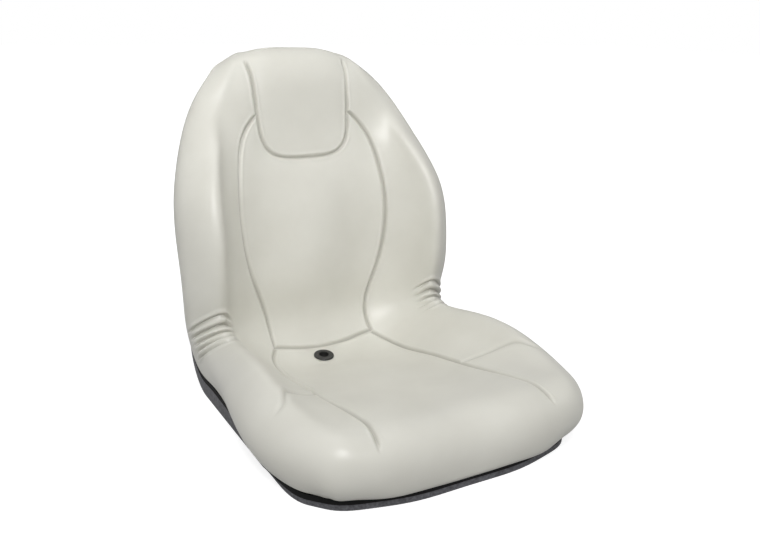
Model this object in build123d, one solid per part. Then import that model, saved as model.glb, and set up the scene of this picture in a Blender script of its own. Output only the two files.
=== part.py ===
from build123d import *
import os
from math import cos, hypot, radians, sin, tan
from typing import NamedTuple

# High-back seat of a garden machine: a moulded vinyl cover on a foam core, in a pressed steel pan.
# Millimetres. X runs across the seat, the front looks towards -Y, Z is up.
# The origin is the middle of the mounting pattern, on the underside of the pan.


class Rib(NamedTuple):
    """One cross-section of the cushion, on a plane that holds the X direction."""

    y: float  # centre line of the sitting surface
    z: float
    tilt: float  # lean of the section's height axis, degrees from +Z towards -Y
    half_width: float
    panel: float  # rise of the middle panel's side over the centre line
    bolster: float  # rise of the side bolster over the centre line
    edge_drop: float  # cover's edge, below the centre line
    edge: float  # half width at the cover's edge
    crest: float  # share of the half width at which the bolster is highest
    foam: float  # foam's depth below the centre line, before the pan's inner face trims it


RIBS = [
    Rib(-206, 17, 97, 176, -2, -18, 30, 175, 0.86, 34),  # lower edge of the front lip
    Rib(-210, 43, 61, 187, 5, -8, 47, 181, 0.85, 51),  # nose of the front lip
    Rib(-200, 71, 37, 197, 8, 5, 67, 191, 0.85, 71),
    Rib(-174, 86, 21, 209, 9, 11, 75, 201, 0.85, 80),  # highest line of the seat
    Rib(-136, 85, 12, 223, 8, 16, 71, 210, 0.85, 88),
    Rib(-45, 68, 0, 236, 5, 42, 56, 214, 0.87, 76),  # widest line of the seat
    Rib(59, 48, -4, 224, 4, 60, 20, 213, 0.88, 56),
    Rib(143, 28, 0, 215, 9, 69, -4, 212, 0.88, 36),
    Rib(202, 34, 26, 215, 12, 71, 0, 213, 0.88, 42),  # crease between seat and back
    Rib(231, 74, 59, 220, 5, 61, 13, 213, 0.87, 32),
    Rib(227, 133, 71, 226, -6, 59, 22, 210, 0.86, 50),  # small of the back
    Rib(230, 211, 73, 228, -9, 67, 38, 205, 0.85, 66),
    Rib(253, 288, 76, 223, 2, 64, 38, 200, 0.85, 65),
    Rib(281, 359, 76, 200, 8, 36, 36, 182, 0.84, 58),
    Rib(288, 423, 76, 170, 0, 0, 48, 155, 0.84, 64),  # headrest
    Rib(302, 472, 60, 138, -2, -18, 48, 125, 0.82, 53),
    Rib(334, 496, 20, 120, -3, -22, 32, 108, 0.82, 36),  # top
    Rib(357, 492, -13, 104, -1, -8, 24, 103, 0.81, 28),  # rear edge of the top
]
FRONT_EDGE = RIBS[0]
TOP_EDGE = RIBS[-1]
CREASE = RIBS[8]
SEAT_SIDE = RIBS[5]
BACK_SIDE = RIBS[9]
WHOLE = (0, 17)  # first and last rib of the cushion
SEAMED = (2, 15)  # of the part that carries seams
RIMMED = (3, 15)  # of the part whose edge lies on the pan's wall
rib_step = 20  # between sections along the cushion

# Places along the half section, as shares of the half width and of the bolster's rise
PANEL_X = 0.48
FLANK_X, FLANK_RISE = 0.76, 0.72
ROUND_X, ROUND_DROP = 0.72, 0.28
SIDE_DROP = 0.62
RUN = [0, 0.36, 0.57, 0.70, 0.80, 0.90, 1.0]  # how far along the half section each point lies

skin = 2.5  # vinyl
skin_clearance = 0.8  # between cover and foam, and between foam and pan
seam_width = 7.0
seam_depth = 1.4  # pressed into the skin

# Seams, from the middle or the crease outwards: of the back in X and Z, of the seat in X and Y
HEAD_SEAM = [(0, 332), (38, 333), (56, 340), (69, 354), (75, 377), (78, 410), (80, 445), (84, 478)]
BACK_SEAM = [(86, 47), (86, 72), (92, 100), (107, 145), (119, 195), (124, 250), (119, 315), (103, 372),
             (80, 398)]
SEAT_SEAM = [(87, 205), (97, 188), (105, 150), (111, 90), (116, -15), (121, -120), (126, -185)]
SIDE_SEAM = [(116, -6), (148, -25), (176, -48), (197, -81), (206, -87)]
crease_seam = (207, 39)  # Y and Z of the seam across the crease
crease_seam_tilt = 35
crease_seam_half = 87

# Pleats that gather the bolster at the crease, on parallel planes
pleat_count = 5
pleat_width = 5.0
pleat_inner_x = 160
pleat_low = (175, 77)  # Y and Z of the lowest and the highest pleat's inner end
pleat_high = (199, 113)
pleat_tilt = 48
pleat_root = 6  # below the inner end
pleat_reach = 70

# Pan, pressed from one sheet
sheet = 1.5
overhang = 4.0  # of the cover's edge past the pan's wall
pan_corner = 234  # where the flat base and the back would meet
pan_bend = 70
pan_lean = 15.6  # degrees
trim_gap = 0.8  # between cover and trim
trim_height = 7.5
trim_width = 8.0
trim_proud = 1.0
seat_gap = 0.2  # between trim and pan

# Mounting pattern and its weld nuts
bolt_across = 286
bolt_along = 292
bolt_bore = 8.5
nut_across_flats = 13
nut_height = 6.5
nut_pocket = 1.0  # foam clearance around each nut

# Drain eyelet
drain_x = -16
drain_place = 443  # along the sitting surface, from the front edge
drain_tilt = 7  # of the flange, towards the front
drain_bore = 16
drain_tube = 20
drain_flange = 32
drain_flange_height = 2.5
drain_flange_round = 1.5
drain_lift = 1.9  # of the flange's seat over the sitting surface's centre line
drain_clearance = 0.3

foam_step = 24  # foam's step inwards at the cover's edge
foam_skipped = (1, 2)  # thin sections at the front and at the top that the foam stops short of
far = 700  # past the whole seat
run_out = 70  # of cutting shapes past what they cut


def path_places():
    """How far along the sitting surface's centre line each rib lies."""
    places = [0]
    for before, after in zip(RIBS, RIBS[1:]):
        places.append(places[-1] + hypot(after.y - before.y, after.z - before.z))
    return places


def slope_at(values, places, index):
    """Slope of the parabola through a value and its two neighbours."""
    middle = min(max(index, 1), len(values) - 2)
    before = (values[middle] - values[middle - 1]) / (places[middle] - places[middle - 1])
    after = (values[middle + 1] - values[middle]) / (places[middle + 1] - places[middle])
    reach = places[middle + 1] - places[middle - 1]
    bend = (after - before) / reach
    joint = before + bend * (places[middle] - places[middle - 1])
    return joint + 2 * bend * (places[index] - places[middle])


def rib_at(place):
    """A section anywhere along the cushion, blended from the ribs around it."""
    places = path_places()
    span = max(index for index in range(len(RIBS) - 1) if places[index] <= place or index == 0)
    length = places[span + 1] - places[span]
    share = (place - places[span]) / length
    blended = []
    for values in zip(*RIBS):
        start, end = values[span], values[span + 1]
        start_rise = length * slope_at(values, places, span)
        end_rise = length * slope_at(values, places, span + 1)
        cubic = 2 * start - 2 * end + start_rise + end_rise
        square = 3 * end - 3 * start - 2 * start_rise - end_rise
        blended.append(((cubic * share + square) * share + start_rise) * share + start)
    return Rib(*blended)


def ribs_between(first, last):
    """Evenly spaced sections from one rib to another."""
    places = path_places()
    start, end = places[first], places[last]
    count = round((end - start) / rib_step)
    return [rib_at(start + (end - start) * number / count) for number in range(count + 1)]


def height_axis(rib):
    """The section's height direction in Y and Z."""
    return -sin(radians(rib.tilt)), cos(radians(rib.tilt))


def on_rib(rib, x, height):
    """A point of the section in space."""
    along_y, along_z = height_axis(rib)
    return Vector(x, rib.y + height * along_y, rib.z + height * along_z)


def half_section(rib):
    """Points of the section's outer line, from the middle to the cover's edge."""
    deep = rib.bolster + rib.edge_drop
    round_x = rib.crest + ROUND_X * (1 - rib.crest)
    return [
        (0, 0),
        (PANEL_X * rib.half_width, rib.panel),
        (FLANK_X * rib.half_width, FLANK_RISE * rib.bolster),
        (rib.crest * rib.half_width, rib.bolster),
        (round_x * rib.half_width, rib.bolster - ROUND_DROP * deep),
        (rib.half_width, rib.bolster - SIDE_DROP * deep),
        (rib.edge, -rib.edge_drop),
    ]


def moved_in(points, inset):
    """An open run of points, each moved to its right-hand side by inset."""
    moved = []
    for index, (u, v) in enumerate(points):
        before = points[max(index - 1, 0)]
        after = points[min(index + 1, len(points) - 1)]
        step_u, step_v = after[0] - before[0], after[1] - before[1]
        share = inset / hypot(step_u, step_v)
        moved.append((u + share * step_v, v - share * step_u))
    return moved


def mirrored(half):
    """A half run from the middle outwards, made whole from -X to +X."""
    return [(-x, v) for x, v in reversed(half[1:])] + half


def section_line(rib, inset):
    """The section's outer line as one spline, inset from the outside."""
    points = moved_in(mirrored(half_section(rib)), inset)
    shares = [-share for share in reversed(RUN[1:])] + RUN
    return Edge.make_spline([on_rib(rib, x, height) for x, height in points], parameters=shares)


def layer(outside, inside, span):
    """The cushion's skin between two depths under its outer face."""
    wires = []
    for rib in ribs_between(*span):
        outer, inner = section_line(rib, outside), section_line(rib, inside)
        right = Edge.make_line(outer @ 1, inner @ 1)
        left = Edge.make_line(inner @ 0, outer @ 0)
        wires.append(Wire([outer, right, inner, left]))
    return Solid.make_loft(wires)


def spline_run(points):
    """A spline through points that are already in space."""
    return Edge.make_spline([Vector(*point) for point in points])


def closed_face(curve, *corners):
    """A flat face bounded by a curve and straight lines by way of corners."""
    ends = [curve @ 1, *[Vector(*corner) for corner in corners], curve @ 0]
    lines = [Edge.make_line(start, end) for start, end in zip(ends, ends[1:])]
    return Face(Wire([curve, *lines]))


def edge_point(rib):
    """Where the cover's edge crosses the rib, in X, Y and Z."""
    return on_rib(rib, rib.edge, -rib.edge_drop)


def rim_line(gap):
    """The cover's edge seen from the side, in Y and Z, moved down and rearwards by gap."""
    points = [(FRONT_EDGE.y - run_out, FRONT_EDGE.z), (FRONT_EDGE.y, FRONT_EDGE.z)]
    points += [(edge_point(rib).Y, edge_point(rib).Z) for rib in ribs_between(*RIMMED)]
    points.append((TOP_EDGE.y, TOP_EDGE.z))
    rise = tan(radians(pan_lean))
    points.append((TOP_EDGE.y + run_out * rise, TOP_EDGE.z + run_out))
    return spline_run([(0, y, z) for y, z in moved_in(points, gap)])


def side_prism(floor, gap):
    """The pan's side view, floor inside its outer face and gap below the cover's edge."""
    rim = rim_line(gap)
    lean = radians(pan_lean)
    foot = pan_corner + floor * tan(lean) - floor / cos(lean)
    high = (rim @ 1).Z
    rear = (0, foot + high * tan(lean), high)
    face = closed_face(rim, rear, (0, foot, floor), (0, (rim @ 0).Y, floor))
    bend = face.vertices().sort_by_distance((0, foot, floor))[0]
    return extrude(face.fillet_2d(pan_bend - floor, [bend]), far, (1, 0, 0), both=True)


def plan_prism(inset):
    """The cover's edge seen from above, drawn in by inset."""
    half = [(x, on_rib(FRONT_EDGE, 0, v).Y) for x, v in half_section(FRONT_EDGE)[:4]]
    half += [(edge_point(rib).X, edge_point(rib).Y) for rib in RIBS[:6] if rib is not RIBS[1]]
    run = moved_in(mirrored(half)[::-1], inset)
    side = run[0][0]
    curve = spline_run([(x, y, 0) for x, y in run])
    return extrude(closed_face(curve, (-side, far, 0), (side, far, 0)), far, (0, 0, 1), both=True)


def back_prism(inset):
    """The cover's edge seen from the front, drawn in by inset."""
    half = [(x, on_rib(TOP_EDGE, 0, v).Z) for x, v in half_section(TOP_EDGE)[:2]]
    half += [(edge_point(rib).X, edge_point(rib).Z) for rib in RIBS[:9:-1] if rib is not RIBS[-2]]
    half.append((SEAT_SIDE.edge, edge_point(BACK_SIDE).Z))
    run = moved_in(mirrored(half), inset)
    side = run[-1][0]
    curve = spline_run([(x, 0, z) for x, z in run])
    return extrude(closed_face(curve, (side, 0, -far), (-side, 0, -far)), far, (0, 1, 0), both=True)


def tub(wall, floor, gap):
    """The space inside the pan's outline: wall and floor inside its outer faces."""
    inset = overhang + wall
    return side_prism(floor, gap) & plan_prism(inset) & back_prism(inset)


def band(run, width, place, low, high):
    """A strip along a run of points, drawn in the plane that place gives and extruded across it."""
    left = spline_run([place(u, v, low) for u, v in moved_in(run, width / 2)])
    right = spline_run([place(u, v, low) for u, v in moved_in(run, -width / 2)])
    ends = [Edge.make_line(left @ 1, right @ 1), Edge.make_line(right @ 0, left @ 0)]
    return extrude(Face(Wire([left, right, *ends])), high - low, place(0, 0, 1))


def in_front_view(x, z, y):
    """A point drawn in X and Z, at a depth."""
    return x, y, z


def in_plan(x, y, z):
    """A point drawn in X and Y, at a height."""
    return x, y, z


def slab(x, y, z, tilt, size_x, thickness, low, high):
    """A flat block across the cushion's path, on a rib plane through a point."""
    place = Plane(origin=(x, y, z), x_dir=(1, 0, 0), z_dir=(0, -cos(radians(tilt)), -sin(radians(tilt))))
    middle = Pos(0, (low + high) / 2, 0)
    return place * middle * Box(size_x, high - low, thickness)


def seam_bands():
    """Everything that the seams and pleats sink."""
    lowest, highest = RIBS[7].z, SEAT_SIDE.z + SEAT_SIDE.bolster + run_out
    front, rear = CREASE.y - run_out, TOP_EDGE.y
    bands = [band(mirrored(HEAD_SEAM), seam_width, in_front_view, front, rear)]
    for side in (1, -1):
        bands.append(band([(side * x, z) for x, z in BACK_SEAM], seam_width, in_front_view, front, rear))
        bands.append(band([(side * x, y) for x, y in SEAT_SEAM], seam_width, in_plan, 0, highest))
        bands.append(band([(side * x, y) for x, y in SIDE_SEAM], seam_width, in_plan, lowest, highest))
        for number in range(pleat_count):
            share = number / (pleat_count - 1)
            y = pleat_low[0] + share * (pleat_high[0] - pleat_low[0])
            z = pleat_low[1] + share * (pleat_high[1] - pleat_low[1])
            x = side * (pleat_inner_x + pleat_reach / 2)
            bands.append(slab(x, y, z, pleat_tilt, pleat_reach, pleat_width, -pleat_root, pleat_reach))
    y, z = crease_seam
    bands.append(slab(0, y, z, crease_seam_tilt, 2 * crease_seam_half, seam_width, -run_out / 2, run_out / 2))
    return Part() + bands


def drain_spot():
    """The middle of the drain, on the underside of its flange."""
    rib = rib_at(drain_place)
    return Vector(drain_x, rib.y, rib.z + drain_lift)


def drain_column(diameter):
    """An upright cylinder at the drain, from below the floor past the cushion."""
    spot = drain_spot()
    return Pos(spot.X, spot.Y, far / 4) * Cylinder(diameter / 2, far)


def bolt_places():
    """The four corners of the mounting pattern."""
    across, along = bolt_across / 2, bolt_along / 2
    return [Pos(x, y, 0) for x in (-across, across) for y in (-along, along)]


def vinyl_cover():
    """The moulded skin, with its pressed seams and pleats and the drain hole."""
    seams = layer(-skin, seam_depth, SEAMED) & seam_bands()
    return Part() + layer(0, skin, WHOLE) - seams - drain_column(drain_tube + 2 * drain_clearance)


def foam_section(rib):
    """A closed section of the foam, inside the cover and stepped in at the cover's edge."""
    line = section_line(rib, skin + skin_clearance)
    side_x, side_height = moved_in(half_section(rib), skin + skin_clearance)[-2]
    first = line.param_at_point(on_rib(rib, -side_x, side_height))
    last = line.param_at_point(on_rib(rib, side_x, side_height))
    top = line.trim(first, last)
    inner = rib.edge - foam_step
    ends = [top @ 1]
    for height in ((side_height - rib.edge_drop) / 2, -rib.foam):
        ends.append(on_rib(rib, inner, height))
    ends += [Vector(-end.X, end.Y, end.Z) for end in reversed(ends)]
    return Wire([top] + [Edge.make_line(start, end) for start, end in zip(ends, ends[1:])])


def pan_room():
    """The space over the pan's inner face, seen from the side."""
    floor = sheet + skin_clearance
    lean = radians(pan_lean)
    foot = pan_corner + floor * tan(lean) - floor / cos(lean)
    corners = [(-far, floor), (foot, floor), (foot + far * tan(lean), floor + far), (-far, floor + far)]
    face = Face(Wire.make_polygon([Vector(0, y, z) for y, z in corners]))
    bend = face.vertices().sort_by_distance((0, foot, floor))[0]
    return extrude(face.fillet_2d(pan_bend - floor, [bend]), far, (1, 0, 0), both=True)


def foam_core():
    """The foam: a cushion under the cover that fills the pan."""
    front, top = foam_skipped
    foam = Part() + Solid.make_loft([foam_section(rib) for rib in ribs_between(*WHOLE)[front:-top]])
    foam = (foam & pan_room()) - drain_column(drain_tube + 2 * drain_clearance)
    pocket = nut_across_flats / cos(radians(30)) / 2 + nut_pocket
    for place in bolt_places():
        foam -= place * Cylinder(pocket, 2 * (sheet + nut_height + nut_pocket))
    return foam


def seat_pan():
    """The pressed pan: a flat base that bends up into the back, with a wall all round."""
    pan = tub(0, 0, trim_gap + trim_height + seat_gap) - tub(sheet, sheet, -trim_height)
    for place in bolt_places():
        pan -= place * Cylinder(bolt_bore / 2, 4 * sheet)
    return pan - drain_column(drain_tube + 2 * drain_clearance)


def edge_trim():
    """The strip between the cover's edge and the pan's wall."""
    below = tub(-2 * trim_proud, -2 * trim_height, trim_gap + trim_height)
    ring = tub(-trim_proud, -trim_height, trim_gap) - below
    return ring - tub(trim_width - trim_proud, 0, -trim_height)


def drain_grommet():
    """The flanged eyelet, with its upright tube down to the pan."""
    spot = drain_spot()
    flange = Pos(0, 0, drain_flange_height / 2) * Cylinder(drain_flange / 2, drain_flange_height)
    flange = fillet(flange.edges().group_by(Axis.Z)[-1], drain_flange_round)
    flange = Pos(spot.X, spot.Y, spot.Z) * Rot(drain_tilt, 0, 0) * flange
    height = spot.Z + drain_flange_height / 2
    tube = Pos(spot.X, spot.Y, height / 2) * Cylinder(drain_tube / 2, height)
    return flange + tube - drain_column(drain_bore)


def mounting_weld_nuts():
    """Four hexagon nuts that stand on the pan's base."""
    hexagon = RegularPolygon(nut_across_flats / 2, 6, major_radius=False)
    nut = extrude(hexagon, nut_height) - Cylinder(bolt_bore / 2, 4 * nut_height)
    return Compound(children=[place * Pos(0, 0, sheet) * nut for place in bolt_places()])


NODES = [vinyl_cover, foam_core, seat_pan, edge_trim, drain_grommet, mounting_weld_nuts]

if __name__ == "__main__":
    os.makedirs("parts", exist_ok=True)
    for node in NODES:
        export_step(node(), f"parts/{node.__name__}.step")
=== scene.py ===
import math

import bmesh
import bpy
import numpy as np
from mathutils import Matrix, Vector, noise

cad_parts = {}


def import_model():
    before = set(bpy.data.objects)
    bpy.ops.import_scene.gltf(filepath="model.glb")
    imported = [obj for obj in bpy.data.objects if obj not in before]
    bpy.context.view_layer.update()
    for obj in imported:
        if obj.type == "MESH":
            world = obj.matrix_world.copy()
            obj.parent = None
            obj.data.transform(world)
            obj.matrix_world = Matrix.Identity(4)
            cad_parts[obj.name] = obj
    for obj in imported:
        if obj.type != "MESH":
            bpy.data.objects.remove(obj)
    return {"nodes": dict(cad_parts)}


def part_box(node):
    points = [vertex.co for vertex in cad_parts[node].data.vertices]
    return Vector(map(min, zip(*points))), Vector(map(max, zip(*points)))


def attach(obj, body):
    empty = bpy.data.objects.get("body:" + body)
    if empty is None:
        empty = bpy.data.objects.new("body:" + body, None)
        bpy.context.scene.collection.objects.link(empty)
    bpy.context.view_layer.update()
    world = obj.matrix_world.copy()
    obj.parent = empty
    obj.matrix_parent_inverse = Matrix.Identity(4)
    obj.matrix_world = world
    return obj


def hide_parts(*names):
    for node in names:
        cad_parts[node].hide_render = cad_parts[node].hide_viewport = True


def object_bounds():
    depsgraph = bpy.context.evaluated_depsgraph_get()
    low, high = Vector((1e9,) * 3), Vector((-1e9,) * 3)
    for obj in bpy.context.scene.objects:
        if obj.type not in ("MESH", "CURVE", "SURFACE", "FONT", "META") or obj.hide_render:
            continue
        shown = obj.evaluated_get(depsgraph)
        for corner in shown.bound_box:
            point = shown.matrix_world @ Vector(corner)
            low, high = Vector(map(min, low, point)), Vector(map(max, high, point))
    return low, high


# High-back seat of a garden machine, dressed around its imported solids.
# Shapes are worked out in millimetres in the solids' own frame and become metres in the meshes.

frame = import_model()
solids = frame["nodes"]
solid_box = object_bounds()

MM = 0.001

# Cross-sections of the cushion, front lip to rear edge of the top, as in the solid except for the
# widths of the first two, which round the rim's corners: centre Y and Z, tilt, half width, panel
# rise, bolster rise, edge drop, half width at the edge, crest share
RIBS = np.array([
    (-206, 17, 97, 175, -2, -18, 30, 179, 0.86),
    (-210, 43, 61, 187, 5, -8, 47, 184, 0.85),
    (-200, 71, 37, 197, 8, 5, 67, 191, 0.85),
    (-174, 86, 21, 209, 9, 11, 75, 201, 0.85),
    (-136, 85, 12, 223, 8, 16, 71, 210, 0.85),
    (-45, 68, 0, 236, 5, 42, 56, 214, 0.87),
    (59, 48, -4, 224, 4, 60, 20, 213, 0.88),
    (143, 28, 0, 215, 9, 69, -4, 212, 0.88),
    (202, 34, 26, 215, 12, 71, 0, 213, 0.88),
    (231, 74, 59, 220, 5, 61, 13, 213, 0.87),
    (227, 133, 71, 226, -6, 59, 22, 210, 0.86),
    (230, 211, 73, 228, -9, 67, 38, 205, 0.85),
    (253, 288, 76, 223, 2, 64, 38, 200, 0.85),
    (281, 359, 76, 200, 8, 36, 36, 182, 0.84),
    (288, 423, 76, 170, 0, 0, 48, 155, 0.84),
    (302, 472, 60, 138, -2, -18, 48, 125, 0.82),
    (334, 496, 20, 120, -3, -22, 32, 108, 0.82),
    (357, 492, -13, 104, -1, -8, 24, 103, 0.81),
], float)
PLACES = np.concatenate([[0], np.cumsum(np.hypot(*np.diff(RIBS[:, :2], axis=0).T))])
CREASE_PLACE = PLACES[8]
NOSE_PLACE = 38

# Half section: shares of the half width and of the bolster's rise, and where each point lies.
# The padding rounds the bolster more than the solid does, by up to 7 mm on its inner flank.
PANEL_X = 0.48
FLANK_X = 0.72
FLANK_RISE = (0.40, 0.65)  # where the bolster is low and where it is tall
CREST_IN = 0.03
TALL_FROM, TALL_TO = 10, 45  # bolster rises between which it goes from low to tall
CREST_RAISE = 0.32  # share by which the crest falls less at the top, where sections round downwards
CREST_SOFTEN, FLANK_SOFTEN = 6, 1.5  # lowering where the bolster is low
SOFTEN_RISE = (15, 55)  # bolster rises between which the lowering ends
SOFTEN_FRONT = (15, 60)  # distances from the front lip over which the lowering begins
SOFTEN_TOP = (60, 150)  # distances from the top's rear edge over which it ends
ROUND_X, ROUND_DROP = 0.72, 0.28
SIDE_DROP = 0.62
RUN = np.array([0, 0.36, 0.57, 0.70, 0.80, 0.90, 1.0])

# Seams of the back in X and Z, and of the seat in X and Y
HEAD_SEAM = [(0, 332.5), (20, 332.5), (38, 334), (56, 340), (69, 354), (75, 377), (78, 410),
             (80, 445), (84, 480)]
BACK_SEAM = [(86, 47), (86, 72), (92, 100), (107, 145), (119, 195), (124, 250), (119, 315), (103, 372),
             (80, 398)]
CREASE_SEAM = [(0, 205), (44, 208), (72, 210), (86, 209)]
SEAT_SEAM = [(87, 205), (97, 188), (105, 150), (111, 90), (116, -15), (121, -120),
             (126, -185), (130, -204)]
SIDE_SEAM = [(116, -6), (148, -25), (176, -48), (197, -81), (206, -87), (219, -91)]
HEAD_FADE, SEAT_FADE, SIDE_FADE = 14, 24, 45
SEAM_ACROSS = 0.9  # share of the half section that seams keep to
SEARCH_CELLS, SEARCH_ROUNDS = (50, 120), 8  # to find a drawn point's place on the cushion

# Pressing along a seam, as depth and reach: the sewn line, its shoulders and the pillow beside it
SEAM_PRESS = [(2.8, 2.0), (1.5, 7), (1.4, 18)]
SEAM_LIP = (1.0, 5.0, 2.2)  # height, distance from the line and reach of the raised lip
SEAM_SHADE_AND_GRIME = 2.4  # reach of the darker line painted in the seam: painted shade of the groove, with some grime
SIDE_SOFTNESS = 1.6  # the side seam is wider and shallower than the others by this

# Pleats that gather the bolster at the crease
PLEAT_COUNT = 5
PLEAT_INNER_X = (155, 176)  # distances from the middle over which the folds begin
PLEAT_LOW_END, PLEAT_HIGH_END = (-34, -8), (36, 52)  # heights over which they begin and end
PLEAT_BLEND = 0.7  # share of the pitch over which the bulges end beyond the outer folds
PLEAT_LOW = (172, 73.5)
PLEAT_HIGH = (196, 109.5)
PLEAT_TILT = 48
PLEAT_DEPTH = 2.4
PLEAT_HALF_WIDTH = 2.3
PLEAT_BULGE = 4.0
# Share of the seams' painted shade and grime that the pleat folds get
PLEAT_SHADE_AND_GRIME = 0.7
POCKET = (176, 186, 112)  # at the inner end of the highest pleat
POCKET_DEPTH = 3.2
POCKET_REACH = 10

SKIN = 2.5
ACROSS, ALONG = 130, 236  # cells before the seams are refined
REFINE = (15, 6.5, 3.2)  # reach around the seams of each halving
HEM = 5  # width of the rim that turns inwards
HEM_TURN = 2.2
HALF_GIRTH = PLACES[-1] / 3  # about the way from the middle to the rim
RIM_LEVEL = 16.5  # height of the rim at the front corners
RIM_SAG = 4  # how much lower the rim is along the front
SAG_END = (90, 165)  # distances from the middle over which the sag ends
RIM_FRONT, RIM_SIDE = 30, 0.12  # how far above the rim points still move, along and across
RIM_SIDE_END = (70, 180)  # places along the side over which the moving ends
RIM_CORNER = (179, -176, 16.5)
CORNER_PULL, CORNER_REACH = 2.8, 22  # along X and along Y
WAVER, WAVER_SPAN = 0.7, 70

# Drain eyelet
DRAIN_TILT = 7
DRAIN_FLANGE = 2.6  # from the flange's highest point down to its seat there
DRAIN_HOLE = 10.3
DRAIN_DISH = 17
DRAIN_BLEND = 36

BUMP_STRENGTH = 0.6

# Floor and surroundings
FLOOR_HALF = 12
FLOOR_GAP = 0.0005
FLOOR_COLOUR = (0.45, 0.45, 0.45, 1)
FLOOR_NEAR, FLOOR_FAR = 0.35, 1.1  # distances between which the floor turns white
FLOOR_NEAR_GLOW, FLOOR_FAR_GLOW = 0.80, 1.0
FLOOR_IN_REFLECTIONS = 0.25
LIGHT_LEFT, LIGHT_RIGHT = 0.52, 0.40
SOFTBOXES = {  # place, aim, size, power and spread
    "key": ((-0.9, -1.6, 2.2), (0, 0, 0.25), 0.8, 34, 180),
    "top": ((-0.1, 0.1, 2.3), (0, 0, 0.2), 1.2, 6, 180),
    "head_light": ((-0.5, -1.5, 1.3), (0, 0.29, 0.45), 0.5, 0.45, 40),
}

# Camera, fitted to the photograph's 760 by 560 frame
CAMERA_AZIMUTH = -29.92
CAMERA_ELEVATION = 18.11
CAMERA_ROLL = 1.3
CAMERA_TARGET = (17.6, 63.0, 185.68)
CAMERA_DISTANCE = 1178.66
CAMERA_LENS = 38.74


def smooth_between(knots, values, at):
    """Values between knots, on a curve that bends evenly through all of them."""
    steps = np.diff(knots)
    rises = np.diff(values, axis=0) / steps.reshape((-1,) + (1,) * (values.ndim - 1))
    span = np.clip(np.searchsorted(knots, at, "right") - 1, 0, len(knots) - 2)
    share = (at - knots[span]) / steps[span]
    return hermite(values, even_slopes(steps, rises), span, share, steps[span])


def even_slopes(steps, rises):
    """Slopes at the knots for which the curve's bend has no jump."""
    count = len(steps) + 1
    system = np.eye(count) + np.eye(count, k=1) + np.eye(count, k=-1)
    target = np.empty((count,) + rises.shape[1:])
    target[0], target[-1] = 2 * rises[0], 2 * rises[-1]
    for knot in range(1, count - 1):
        before, after = steps[knot - 1], steps[knot]
        system[knot, knot - 1:knot + 2] = after, 2 * (before + after), before
        target[knot] = 3 * (after * rises[knot - 1] + before * rises[knot])
    return np.linalg.solve(system, target.reshape(count, -1)).reshape(target.shape)


def hermite(values, slopes, span, share, length):
    """Cubic blend of two neighbouring values; the last axis of values may run over the places."""
    if values.ndim == 2 and values.shape[1] == len(span):
        column = np.arange(len(span))
        start, end = values[span, column], values[span + 1, column]
        rise, fall = slopes[span, column] * length, slopes[span + 1, column] * length
    else:
        start, end = values[span], values[span + 1]
        share = share.reshape((-1,) + (1,) * (values.ndim - 1))
        length = length.reshape(share.shape)
        rise, fall = slopes[span] * length, slopes[span + 1] * length
    cubic = 2 * start - 2 * end + rise + fall
    square = 3 * end - 3 * start - 2 * rise - fall
    return ((cubic * share + square) * share + rise) * share + start


def cushion_points(across, place):
    """Points of the cushion's outer face: across from -1 to 1, place along the centre line."""
    y, z, tilt, width, panel, bolster, drop, edge, crest = smooth_between(PLACES, RIBS, place).T
    deep = bolster + drop
    round_x = crest + ROUND_X * (1 - crest)
    zero = np.zeros_like(y)
    tall = step_up(bolster, TALL_FROM, TALL_TO)
    crest_x = crest - CREST_IN * tall
    low = (1 - step_up(bolster, *SOFTEN_RISE)) * step_up(place, *SOFTEN_FRONT)
    low *= step_up(PLACES[-1] - place, *SOFTEN_TOP)
    fall = np.minimum(bolster, 0) * (place > CREASE_PLACE)
    crest_height = bolster - CREST_RAISE * fall - CREST_SOFTEN * low
    flank = panel + (bolster - panel) * (FLANK_RISE[0] + (FLANK_RISE[1] - FLANK_RISE[0]) * tall)
    flank -= FLANK_SOFTEN * low
    offsets = [zero, PANEL_X * width, FLANK_X * width, crest_x * width, round_x * width, width, edge]
    heights = [zero, panel, flank, crest_height, bolster - ROUND_DROP * deep,
               bolster - SIDE_DROP * deep, -drop]
    knots = np.concatenate([-RUN[:0:-1], RUN])
    offsets = np.array([-row for row in offsets[:0:-1]] + offsets)
    heights = np.array(heights[:0:-1] + heights)
    x = smooth_between(knots, offsets, across)
    height = smooth_between(knots, heights, across)
    tilt = np.radians(tilt)
    return np.column_stack([x, y - height * np.sin(tilt), z + height * np.cos(tilt)])


def smooth_run(points, step=4):
    """A run of points made into a smooth, finely divided line."""
    points = np.array(points, float)
    knots = np.concatenate([[0], np.cumsum(np.hypot(*np.diff(points, axis=0).T))])
    return smooth_between(knots, points, np.append(np.arange(0, knots[-1], step), knots[-1]))


def on_cushion(run, view, first_place, last_place):
    """Lays a run that is drawn in a view, two axes of space, onto the cushion's face."""
    run = smooth_run(run)
    columns = np.linspace(0, SEAM_ACROSS, SEARCH_CELLS[0])
    rows = np.linspace(first_place, last_place, SEARCH_CELLS[1])
    across, place = [cells.ravel() for cells in np.meshgrid(columns, rows)]
    drawn = cushion_points(across, place)[:, view]
    nearest = np.array([np.hypot(*(drawn - point).T).argmin() for point in run])
    across, place = across[nearest], place[nearest]
    small, short = 1e-4, 0.1
    for _ in range(SEARCH_ROUNDS):
        here = cushion_points(across, place)[:, view]
        over = (cushion_points(across + small, place)[:, view] - here) / small
        ahead = (cushion_points(across, place + short)[:, view] - here) / short
        miss = run - here
        spread = over[:, 0] * ahead[:, 1] - over[:, 1] * ahead[:, 0]
        across = across + (miss[:, 0] * ahead[:, 1] - miss[:, 1] * ahead[:, 0]) / spread
        place = place + (over[:, 0] * miss[:, 1] - over[:, 1] * miss[:, 0]) / spread
        across, place = np.clip(across, 0, SEAM_ACROSS), np.clip(place, first_place, last_place)
    return cushion_points(across, place)


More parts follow.
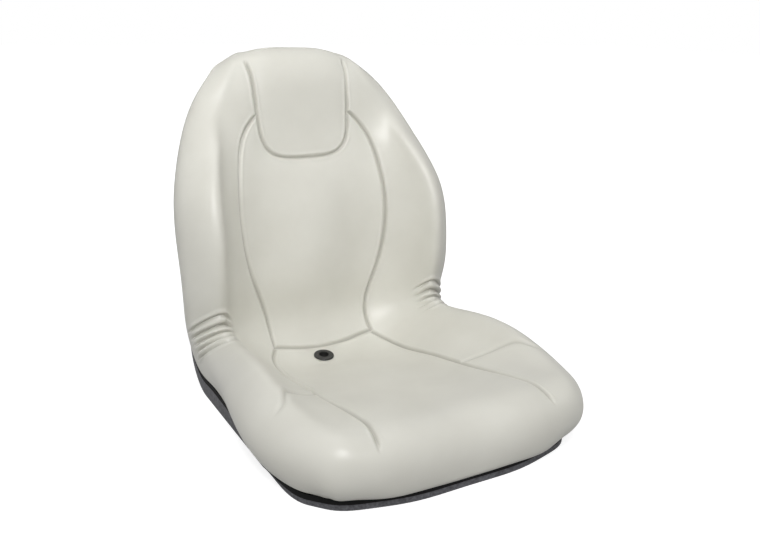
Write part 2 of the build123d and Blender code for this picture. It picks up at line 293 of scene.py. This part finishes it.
def distance_to(points, run):
    """Distance of each point to a run, and how much of the run is left past its nearest place."""
    best = np.full(len(points), np.inf)
    along = np.zeros(len(points))
    travelled = 0
    for start, end in zip(run, run[1:]):
        line = end - start
        length = np.linalg.norm(line)
        share = np.clip(((points - start) @ line) / length ** 2, 0, 1)
        away = np.linalg.norm(points - start - share[:, None] * line, axis=1)
        nearer = away < best
        best[nearer] = away[nearer]
        along[nearer] = travelled + share[nearer] * length
        travelled += length
    return best, travelled - along


def step_up(value, low, high):
    """A smooth step from 0 at low to 1 at high."""
    share = np.clip((value - low) / (high - low), 0, 1)
    return share * share * (3 - 2 * share)


def hill(distance, reach):
    """A smooth hill, 1 in the middle and gone past about twice its reach."""
    return np.exp(-(distance / reach) ** 2)


PLAN, FRONT_VIEW = [0, 1], [0, 2]
SEAM_RUNS = [  # run, length over which its end fades, how much softer than the others it is
    (on_cushion(HEAD_SEAM, FRONT_VIEW, CREASE_PLACE, PLACES[-2]), HEAD_FADE, 1),
    (on_cushion(BACK_SEAM, FRONT_VIEW, CREASE_PLACE, PLACES[-2]), 0, 1),
    (on_cushion(CREASE_SEAM, PLAN, PLACES[7], PLACES[9]), 0, 1),
    (on_cushion(SEAT_SEAM, PLAN, NOSE_PLACE, PLACES[9]), SEAT_FADE, 1),
    (on_cushion(SIDE_SEAM, PLAN, 0, CREASE_PLACE), SIDE_FADE, SIDE_SOFTNESS),
]


def flipped(points):
    """Points brought to the side of the seat where the seams are drawn."""
    return np.abs(points) * (1, 0, 0) + points * (0, 1, 1)


def near_seam(points, reach):
    """Whether points lie within reach of a seam."""
    return np.any([distance_to(flipped(points), run)[0] < reach for run, _, _ in SEAM_RUNS], axis=0)


def seam_sink(points):
    """How deep seams press each point, and a mask along the sewn lines for their painted shade and grime.
    """
    sink, line = np.zeros(len(points)), np.zeros(len(points))
    for run, fade, widen in SEAM_RUNS:
        away, left = distance_to(flipped(points), run)
        strength = step_up(left, 0, fade) if fade else 1
        pressed = sum(depth * hill(away, reach * widen) for depth, reach in SEAM_PRESS)
        height, middle, reach = SEAM_LIP
        pressed -= height * hill(away - middle * widen, reach * widen)
        sink = np.maximum(sink, strength * pressed / widen)
        # Mask for the painted shade, with some grime, in the groove
        line = np.maximum(line, strength * hill(away, SEAM_SHADE_AND_GRIME) / widen)
    return sink, line


def pleat_lines(points):
    """Signed distance to the nearest pleat, its share of the pitch, and how far folds and bulges show."""
    tilt = math.radians(PLEAT_TILT)
    low, high = np.array(PLEAT_LOW), np.array(PLEAT_HIGH)
    travel_axis, height_axis = (math.cos(tilt), math.sin(tilt)), (-math.sin(tilt), math.cos(tilt))
    pitch = (high - low) @ travel_axis / (PLEAT_COUNT - 1)
    number = (points[:, 1:] - low) @ travel_axis / pitch
    nearest = np.round(np.clip(number, 0, PLEAT_COUNT - 1))
    height = (points[:, 1:] - low - nearest[:, None] * (high - low) / (PLEAT_COUNT - 1)) @ height_axis
    inner = step_up(np.abs(points[:, 0]), *PLEAT_INNER_X)
    shown = inner * step_up(height, *PLEAT_LOW_END) * (1 - step_up(height, *PLEAT_HIGH_END))
    between = step_up(number, -PLEAT_BLEND, 0) * step_up(PLEAT_COUNT - 1 - number, -PLEAT_BLEND, 0)
    return (number - nearest) * pitch, np.abs(number - nearest), shown, between


def pleat_sink(points):
    """How deep the pleats fold each point, and a mask along the folds for their painted shade and grime.
    """
    away, share, shown, between = pleat_lines(points)
    fold = hill(away, PLEAT_HALF_WIDTH)
    bulge = np.sin(np.clip(share, 0, 0.5) * math.pi) * between
    pocket = hill(np.linalg.norm(flipped(points) - POCKET, axis=1), POCKET_REACH)
    return shown * (PLEAT_DEPTH * fold - PLEAT_BULGE * bulge) + POCKET_DEPTH * pocket, shown * fold


def new_object(name, mesh, material):
    """Links a finished mesh as a piece of the seat."""
    piece = bpy.data.objects.new(name, mesh)
    bpy.context.scene.collection.objects.link(piece)
    mesh.materials.append(material)
    mesh.shade_smooth()
    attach(piece, "root")
    return piece


def read_points(mesh, name="co"):
    values = np.empty(len(mesh.vertices) * 3)
    mesh.vertices.foreach_get(name, values)
    return values.reshape(-1, 3)


def write_points(mesh, points):
    mesh.vertices.foreach_set("co", np.ascontiguousarray(points, np.float32).ravel())
    mesh.update()


def write_mask(mesh, name, values):
    layer = mesh.attributes.new(name, "FLOAT", "POINT")
    layer.data.foreach_set("value", np.ascontiguousarray(values, np.float32))


def laid_out(flat):
    """Maps the flat starting sheet, -1 to 1 both ways, onto the cushion."""
    place = (flat[:, 1] + 1) / 2 * PLACES[-1]
    return cushion_points(flat[:, 0], place), place


def refine_at_seams(sheet, reach):
    """Halves the cells of the flat sheet near seams and pleats."""
    points, _ = laid_out(np.array([corner.co for corner in sheet.verts]))
    away, _, shown, _ = pleat_lines(points)
    near = near_seam(points, reach) | ((shown > 0.02) & (np.abs(away) < reach))
    sheet.verts.index_update()
    cells = [face for face in sheet.faces if any(near[corner.index] for corner in face.verts)]
    edges = list({edge for face in cells for edge in face.edges})
    bmesh.ops.subdivide_edges(sheet, edges=edges, cuts=1, use_grid_fill=True)


def hem_sink(flat, place):
    """How far the cover's rim turns inwards."""
    side = (1 - np.abs(flat[:, 0])) * HALF_GIRTH
    ends = np.minimum(place, PLACES[-1] - place)
    return HEM_TURN * (1 - np.clip(np.minimum(side, ends) / HEM, 0, 1)) ** 2


def level_rim(flat, place):
    """How far points near the front rim move up or down, so that the rim runs evenly there."""
    side = np.sign(flat[:, 0]) + (flat[:, 0] == 0)
    front = cushion_points(flat[:, 0], np.zeros_like(place))
    front_rim = RIM_LEVEL - RIM_SAG * (1 - step_up(np.abs(front[:, 0]), *SAG_END)) - front[:, 2]
    side_rim = RIM_LEVEL - cushion_points(side, place)[:, 2]
    near_front = 1 - step_up(place, 0, RIM_FRONT)
    near_side = (1 - step_up(1 - np.abs(flat[:, 0]), 0, RIM_SIDE)) * (1 - step_up(place, *RIM_SIDE_END))
    both = near_front + near_side
    mean = (near_front * front_rim + near_side * side_rim) / np.maximum(both, 1e-6)
    return mean * np.maximum(near_front, near_side)


def round_corners(points):
    """How far points at the front rim's two corners are drawn in."""
    pull = CORNER_PULL * hill(np.linalg.norm(flipped(points) - RIM_CORNER, axis=1), CORNER_REACH)
    return np.column_stack([-np.sign(points[:, 0]) * pull, pull, np.zeros_like(pull)])


def vinyl_cushion(material):
    """The moulded cushion cover, pressed in along its seams and pleats."""
    mesh = bpy.data.meshes.new("vinyl_cushion")
    sheet = bmesh.new()
    bmesh.ops.create_grid(sheet, x_segments=ACROSS, y_segments=ALONG, size=1)
    for reach in REFINE:
        refine_at_seams(sheet, reach)
    sheet.to_mesh(mesh)
    sheet.free()
    flat = read_points(mesh)
    points, place = laid_out(flat)
    points[:, 2] += level_rim(flat, place)
    points += round_corners(points)
    write_points(mesh, points * MM)
    normals = read_points(mesh, "normal")
    line_sink, line = seam_sink(points)
    fold_sink, fold = pleat_sink(points)
    waver = np.array([noise.noise(Vector(point) / WAVER_SPAN) for point in points])
    sink = line_sink + fold_sink + hem_sink(flat, place) - WAVER * waver
    points = points - normals * sink[:, None]
    low, high = [np.array(corner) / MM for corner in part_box("drain_grommet")]
    middle = (low + high) / 2
    away = np.hypot(points[:, 0] - middle[0], points[:, 1] - middle[1])
    dish = 1 - step_up(away, DRAIN_DISH, DRAIN_BLEND)
    dish[np.abs(points[:, 2] - high[2]) > DRAIN_BLEND] = 0
    tilt = math.tan(math.radians(DRAIN_TILT))
    seat = high[2] - DRAIN_FLANGE + (points[:, 1] - high[1]) * tilt
    points[:, 2] += dish * (seat - points[:, 2])
    write_points(mesh, points * MM)
    # Mask of the painted shade, with some grime, in the seams and pleat folds
    write_mask(mesh, "seam_shade_and_grime", np.maximum(line, PLEAT_SHADE_AND_GRIME * fold))
    cut_hole(mesh, (away < DRAIN_HOLE) & (dish > 0.5))
    cushion = new_object("vinyl_cushion", mesh, material)
    wall = cushion.modifiers.new("skin", "SOLIDIFY")
    wall.thickness = SKIN * MM
    wall.offset = -1
    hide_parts("vinyl_cover", "foam_core")


def cut_hole(mesh, inside):
    """Removes the points inside a hole and turns all faces outwards."""
    cut = bmesh.new()
    cut.from_mesh(mesh)
    cut.verts.ensure_lookup_table()
    bmesh.ops.delete(cut, geom=[cut.verts[index] for index in np.flatnonzero(inside)], context="VERTS")
    bmesh.ops.recalc_face_normals(cut, faces=cut.faces)
    cut.to_mesh(mesh)
    cut.free()


def grain_group():
    """A shared fine grain: raised cells and a slow mottle, both by object position."""
    group = bpy.data.node_groups.new("fine_grain", "ShaderNodeTree")
    for name in ("Grain scale", "Mottle scale"):
        group.interface.new_socket(name, in_out="INPUT", socket_type="NodeSocketFloat")
    for name in ("Height", "Mottle"):
        group.interface.new_socket(name, in_out="OUTPUT", socket_type="NodeSocketFloat")
    add, link = group.nodes.new, group.links.new
    values, out = add("NodeGroupInput"), add("NodeGroupOutput")
    where = add("ShaderNodeTexCoord")
    cells = add("ShaderNodeTexVoronoi")
    cells.feature = "SMOOTH_F1"
    speck = add("ShaderNodeTexNoise")
    speck.inputs["Detail"].default_value = 3
    slow = add("ShaderNodeTexNoise")
    slow.inputs["Detail"].default_value = 4
    both = add("ShaderNodeMath")
    both.operation = "ADD"
    for texture in (cells, speck, slow):
        link(where.outputs["Object"], texture.inputs["Vector"])
    link(values.outputs["Grain scale"], cells.inputs["Scale"])
    link(values.outputs["Grain scale"], speck.inputs["Scale"])
    link(values.outputs["Mottle scale"], slow.inputs["Scale"])
    link(cells.outputs["Distance"], both.inputs[0])
    link(speck.outputs["Fac"], both.inputs[1])
    link(both.outputs["Value"], out.inputs["Height"])
    link(slow.outputs["Fac"], out.inputs["Mottle"])
    return group


def start_material(name):
    """An empty node material with its shader and output."""
    material = bpy.data.materials.new(name)
    material.use_nodes = True
    tree = material.node_tree
    tree.nodes.clear()
    shader = tree.nodes.new("ShaderNodeBsdfPrincipled")
    output = tree.nodes.new("ShaderNodeOutputMaterial")
    tree.links.new(shader.outputs["BSDF"], output.inputs["Surface"])
    return material, tree, shader


def add_grain(tree, shader, group, grain_scale, mottle_scale, depth):
    """Places the grain group in a material, as bump; returns its mottle."""
    node = tree.nodes.new("ShaderNodeGroup")
    node.node_tree = group
    node.inputs["Grain scale"].default_value = grain_scale
    node.inputs["Mottle scale"].default_value = mottle_scale
    bump = tree.nodes.new("ShaderNodeBump")
    bump.inputs["Distance"].default_value = depth * MM
    bump.inputs["Strength"].default_value = BUMP_STRENGTH
    tree.links.new(node.outputs["Height"], bump.inputs["Height"])
    tree.links.new(bump.outputs["Normal"], shader.inputs["Normal"])
    return node.outputs["Mottle"]


def ramp(tree, value, stops):
    """A colour ramp driven by a value; stops are position and linear colour."""
    node = tree.nodes.new("ShaderNodeValToRGB")
    elements = node.color_ramp.elements
    for index, (position, colour) in enumerate(stops):
        element = elements[index] if index < 2 else elements.new(position)
        element.position = position
        element.color = (*colour, 1)
    tree.links.new(value, node.inputs["Fac"])
    return node.outputs["Color"]


def map_value(tree, value, low, high):
    """A value from 0 to 1 mapped to a range."""
    node = tree.nodes.new("ShaderNodeMapRange")
    node.inputs["To Min"].default_value = low
    node.inputs["To Max"].default_value = high
    tree.links.new(value, node.inputs["Value"])
    return node.outputs["Result"]


def vinyl_material(grain):
    """Pale warm grey vinyl with a fine grain, darkened along the seams and folds by painted shade with a
    little grime.
    """
    material, tree, shader = start_material("pale_vinyl")
    mottle = add_grain(tree, shader, grain, grain_scale=900, mottle_scale=14, depth=0.05)
    colour = ramp(tree, mottle, [(0.25, (0.640, 0.630, 0.570)), (0.75, (0.690, 0.682, 0.622))])
    # Mask of the seams and folds, read for their painted shade and grime
    seam_shade_and_grime = tree.nodes.new("ShaderNodeAttribute")
    seam_shade_and_grime.attribute_name = "seam_shade_and_grime"
    shade_and_grime = tree.nodes.new("ShaderNodeMix")
    shade_and_grime.data_type = "RGBA"
    # Darker colour mixed in along the grooves: painted shade, with a little grime
    shade_and_grime.inputs["B"].default_value = (0.32, 0.31, 0.27, 1)
    tree.links.new(map_value(tree, seam_shade_and_grime.outputs["Fac"], 0, 0.5), shade_and_grime.inputs["Factor"])
    tree.links.new(colour, shade_and_grime.inputs["A"])
    tree.links.new(shade_and_grime.outputs["Result"], shader.inputs["Base Color"])
    tree.links.new(map_value(tree, mottle, 0.32, 0.41), shader.inputs["Roughness"])
    shader.inputs["Specular IOR Level"].default_value = 0.5
    shader.inputs["Sheen Weight"].default_value = 0.05
    return material


def pan_material(grain):
    """Dark grey textured coat on pressed steel."""
    material, tree, shader = start_material("textured_pan_coat")
    mottle = add_grain(tree, shader, grain, grain_scale=700, mottle_scale=260, depth=0.25)
    colour = ramp(tree, mottle, [(0.3, (0.050, 0.050, 0.056)), (0.7, (0.15, 0.15, 0.165))])
    tree.links.new(colour, shader.inputs["Base Color"])
    tree.links.new(map_value(tree, mottle, 0.45, 0.62), shader.inputs["Roughness"])
    return material


def rubber_material(grain):
    """Matte black rubber of the edge trim."""
    material, tree, shader = start_material("black_trim_rubber")
    mottle = add_grain(tree, shader, grain, grain_scale=1200, mottle_scale=60, depth=0.04)
    colour = ramp(tree, mottle, [(0.3, (0.004, 0.004, 0.004)), (0.7, (0.009, 0.009, 0.009))])
    tree.links.new(colour, shader.inputs["Base Color"])
    tree.links.new(map_value(tree, mottle, 0.70, 0.85), shader.inputs["Roughness"])
    shader.inputs["Specular IOR Level"].default_value = 0.2
    return material


def eyelet_material(grain):
    """Black satin plastic of the drain eyelet."""
    material, tree, shader = start_material("black_eyelet_plastic")
    mottle = add_grain(tree, shader, grain, grain_scale=1600, mottle_scale=90, depth=0.02)
    colour = ramp(tree, mottle, [(0.3, (0.022, 0.022, 0.021)), (0.7, (0.034, 0.034, 0.033))])
    tree.links.new(colour, shader.inputs["Base Color"])
    tree.links.new(map_value(tree, mottle, 0.32, 0.46), shader.inputs["Roughness"])
    return material


def zinc_material(grain):
    """Bright zinc plating of the weld nuts."""
    material, tree, shader = start_material("zinc_plate")
    mottle = add_grain(tree, shader, grain, grain_scale=900, mottle_scale=120, depth=0.02)
    colour = ramp(tree, mottle, [(0.3, (0.50, 0.50, 0.47)), (0.7, (0.62, 0.62, 0.60))])
    tree.links.new(colour, shader.inputs["Base Color"])
    tree.links.new(map_value(tree, mottle, 0.28, 0.45), shader.inputs["Roughness"])
    shader.inputs["Metallic"].default_value = 1
    return material


def dress(node, material):
    """Gives a solid's object a finished material."""
    mesh = solids[node].data
    mesh.materials.clear()
    mesh.materials.append(material)


def floor():
    """A wide pale floor that keeps a soft shadow near the seat and is white further out."""
    mesh = bpy.data.meshes.new("pale_floor")
    sheet = bmesh.new()
    bmesh.ops.create_grid(sheet, x_segments=1, y_segments=1, size=FLOOR_HALF)
    sheet.to_mesh(mesh)
    sheet.free()
    material = bpy.data.materials.new("pale_floor")
    material.use_nodes = True
    tree = material.node_tree
    tree.nodes.clear()
    matte = tree.nodes.new("ShaderNodeBsdfDiffuse")
    matte.inputs["Color"].default_value = FLOOR_COLOUR
    glow = tree.nodes.new("ShaderNodeEmission")
    rays = tree.nodes.new("ShaderNodeLightPath")
    seen = tree.nodes.new("ShaderNodeMath")
    seen.operation = "MULTIPLY_ADD"
    seen.inputs[1].default_value = FLOOR_IN_REFLECTIONS
    tree.links.new(rays.outputs["Is Glossy Ray"], seen.inputs[0])
    tree.links.new(rays.outputs["Is Camera Ray"], seen.inputs[2])
    where = tree.nodes.new("ShaderNodeTexCoord")
    away = tree.nodes.new("ShaderNodeVectorMath")
    away.operation = "LENGTH"
    tree.links.new(where.outputs["Object"], away.inputs[0])
    level = tree.nodes.new("ShaderNodeMapRange")
    level.interpolation_type = "SMOOTHSTEP"
    level.inputs["From Min"].default_value = FLOOR_NEAR
    level.inputs["From Max"].default_value = FLOOR_FAR
    level.inputs["To Min"].default_value = FLOOR_NEAR_GLOW
    level.inputs["To Max"].default_value = FLOOR_FAR_GLOW
    tree.links.new(away.outputs["Value"], level.inputs["Value"])
    power = tree.nodes.new("ShaderNodeMath")
    power.operation = "MULTIPLY"
    tree.links.new(level.outputs["Result"], power.inputs[1])
    tree.links.new(seen.outputs["Value"], power.inputs[0])
    tree.links.new(power.outputs["Value"], glow.inputs["Strength"])
    both = tree.nodes.new("ShaderNodeAddShader")
    output = tree.nodes.new("ShaderNodeOutputMaterial")
    tree.links.new(matte.outputs["BSDF"], both.inputs[0])
    tree.links.new(glow.outputs["Emission"], both.inputs[1])
    tree.links.new(both.outputs["Shader"], output.inputs["Surface"])
    mesh.materials.append(material)
    ground = bpy.data.objects.new("pale_floor", mesh)
    ground.location.z = solid_box[0].z - FLOOR_GAP
    bpy.context.scene.collection.objects.link(ground)


def world():
    """White surroundings to the camera, and soft light that is stronger from the left."""
    surroundings = bpy.data.worlds.new("white_surroundings")
    surroundings.use_nodes = True
    tree = surroundings.node_tree
    tree.nodes.clear()
    background = tree.nodes.new("ShaderNodeBackground")
    background.inputs["Color"].default_value = (1, 1, 1, 1)
    rays = tree.nodes.new("ShaderNodeLightPath")
    seen = tree.nodes.new("ShaderNodeMath")
    seen.operation = "MAXIMUM"
    tree.links.new(rays.outputs["Is Camera Ray"], seen.inputs[0])
    tree.links.new(rays.outputs["Is Transmission Ray"], seen.inputs[1])
    where = tree.nodes.new("ShaderNodeTexCoord")
    axes = tree.nodes.new("ShaderNodeSeparateXYZ")
    tree.links.new(where.outputs["Generated"], axes.inputs["Vector"])
    sides = tree.nodes.new("ShaderNodeMapRange")
    sides.inputs["From Min"].default_value = -1
    sides.inputs["To Min"].default_value = LIGHT_LEFT
    sides.inputs["To Max"].default_value = LIGHT_RIGHT
    tree.links.new(axes.outputs["X"], sides.inputs["Value"])
    level = tree.nodes.new("ShaderNodeMapRange")
    level.inputs["To Max"].default_value = 1.0
    tree.links.new(sides.outputs["Result"], level.inputs["To Min"])
    tree.links.new(seen.outputs["Value"], level.inputs["Value"])
    tree.links.new(level.outputs["Result"], background.inputs["Strength"])
    output = tree.nodes.new("ShaderNodeOutputWorld")
    tree.links.new(background.outputs["Background"], output.inputs["Surface"])
    bpy.context.scene.world = surroundings


def softbox(name, place, aim, size, power, spread):
    """A square studio light; a grid in front of it may narrow its spread."""
    lamp = bpy.data.lights.new(name, "AREA")
    lamp.shape = "SQUARE"
    lamp.size = size
    lamp.energy = power
    lamp.spread = math.radians(spread)
    box = bpy.data.objects.new(name, lamp)
    box.location = place
    box.rotation_euler = (Vector(aim) - Vector(place)).to_track_quat("-Z", "Y").to_euler()
    bpy.context.scene.collection.objects.link(box)


def camera():
    """The camera at the photograph's viewing angle."""
    azimuth, elevation = math.radians(CAMERA_AZIMUTH), math.radians(CAMERA_ELEVATION)
    roll = math.radians(CAMERA_ROLL)
    back = Vector((math.sin(azimuth) * math.cos(elevation), -math.cos(azimuth) * math.cos(elevation),
                   math.sin(elevation)))
    level = Vector((math.cos(azimuth), math.sin(azimuth), 0))
    upright = back.cross(level)
    right = level * math.cos(roll) + upright * math.sin(roll)
    up = upright * math.cos(roll) - level * math.sin(roll)
    eye = bpy.data.cameras.new("camera")
    eye.sensor_fit = "HORIZONTAL"
    eye.sensor_width = 36
    eye.lens = CAMERA_LENS
    viewer = bpy.data.objects.new("camera", eye)
    turn = Matrix((right, up, back)).transposed().to_4x4()
    spot = (Vector(CAMERA_TARGET) + CAMERA_DISTANCE * back) * MM
    viewer.matrix_world = Matrix.Translation(spot) @ turn
    bpy.context.scene.collection.objects.link(viewer)
    bpy.context.scene.camera = viewer


grain = grain_group()
vinyl_cushion(vinyl_material(grain))
dress("seat_pan", pan_material(grain))
dress("edge_trim", rubber_material(grain))
dress("drain_grommet", eyelet_material(grain))
dress("mounting_weld_nuts", zinc_material(grain))

floor()
world()
for name, setting in SOFTBOXES.items():
    softbox(name, *setting)
camera()
bpy.context.scene.view_settings.view_transform = "Standard"
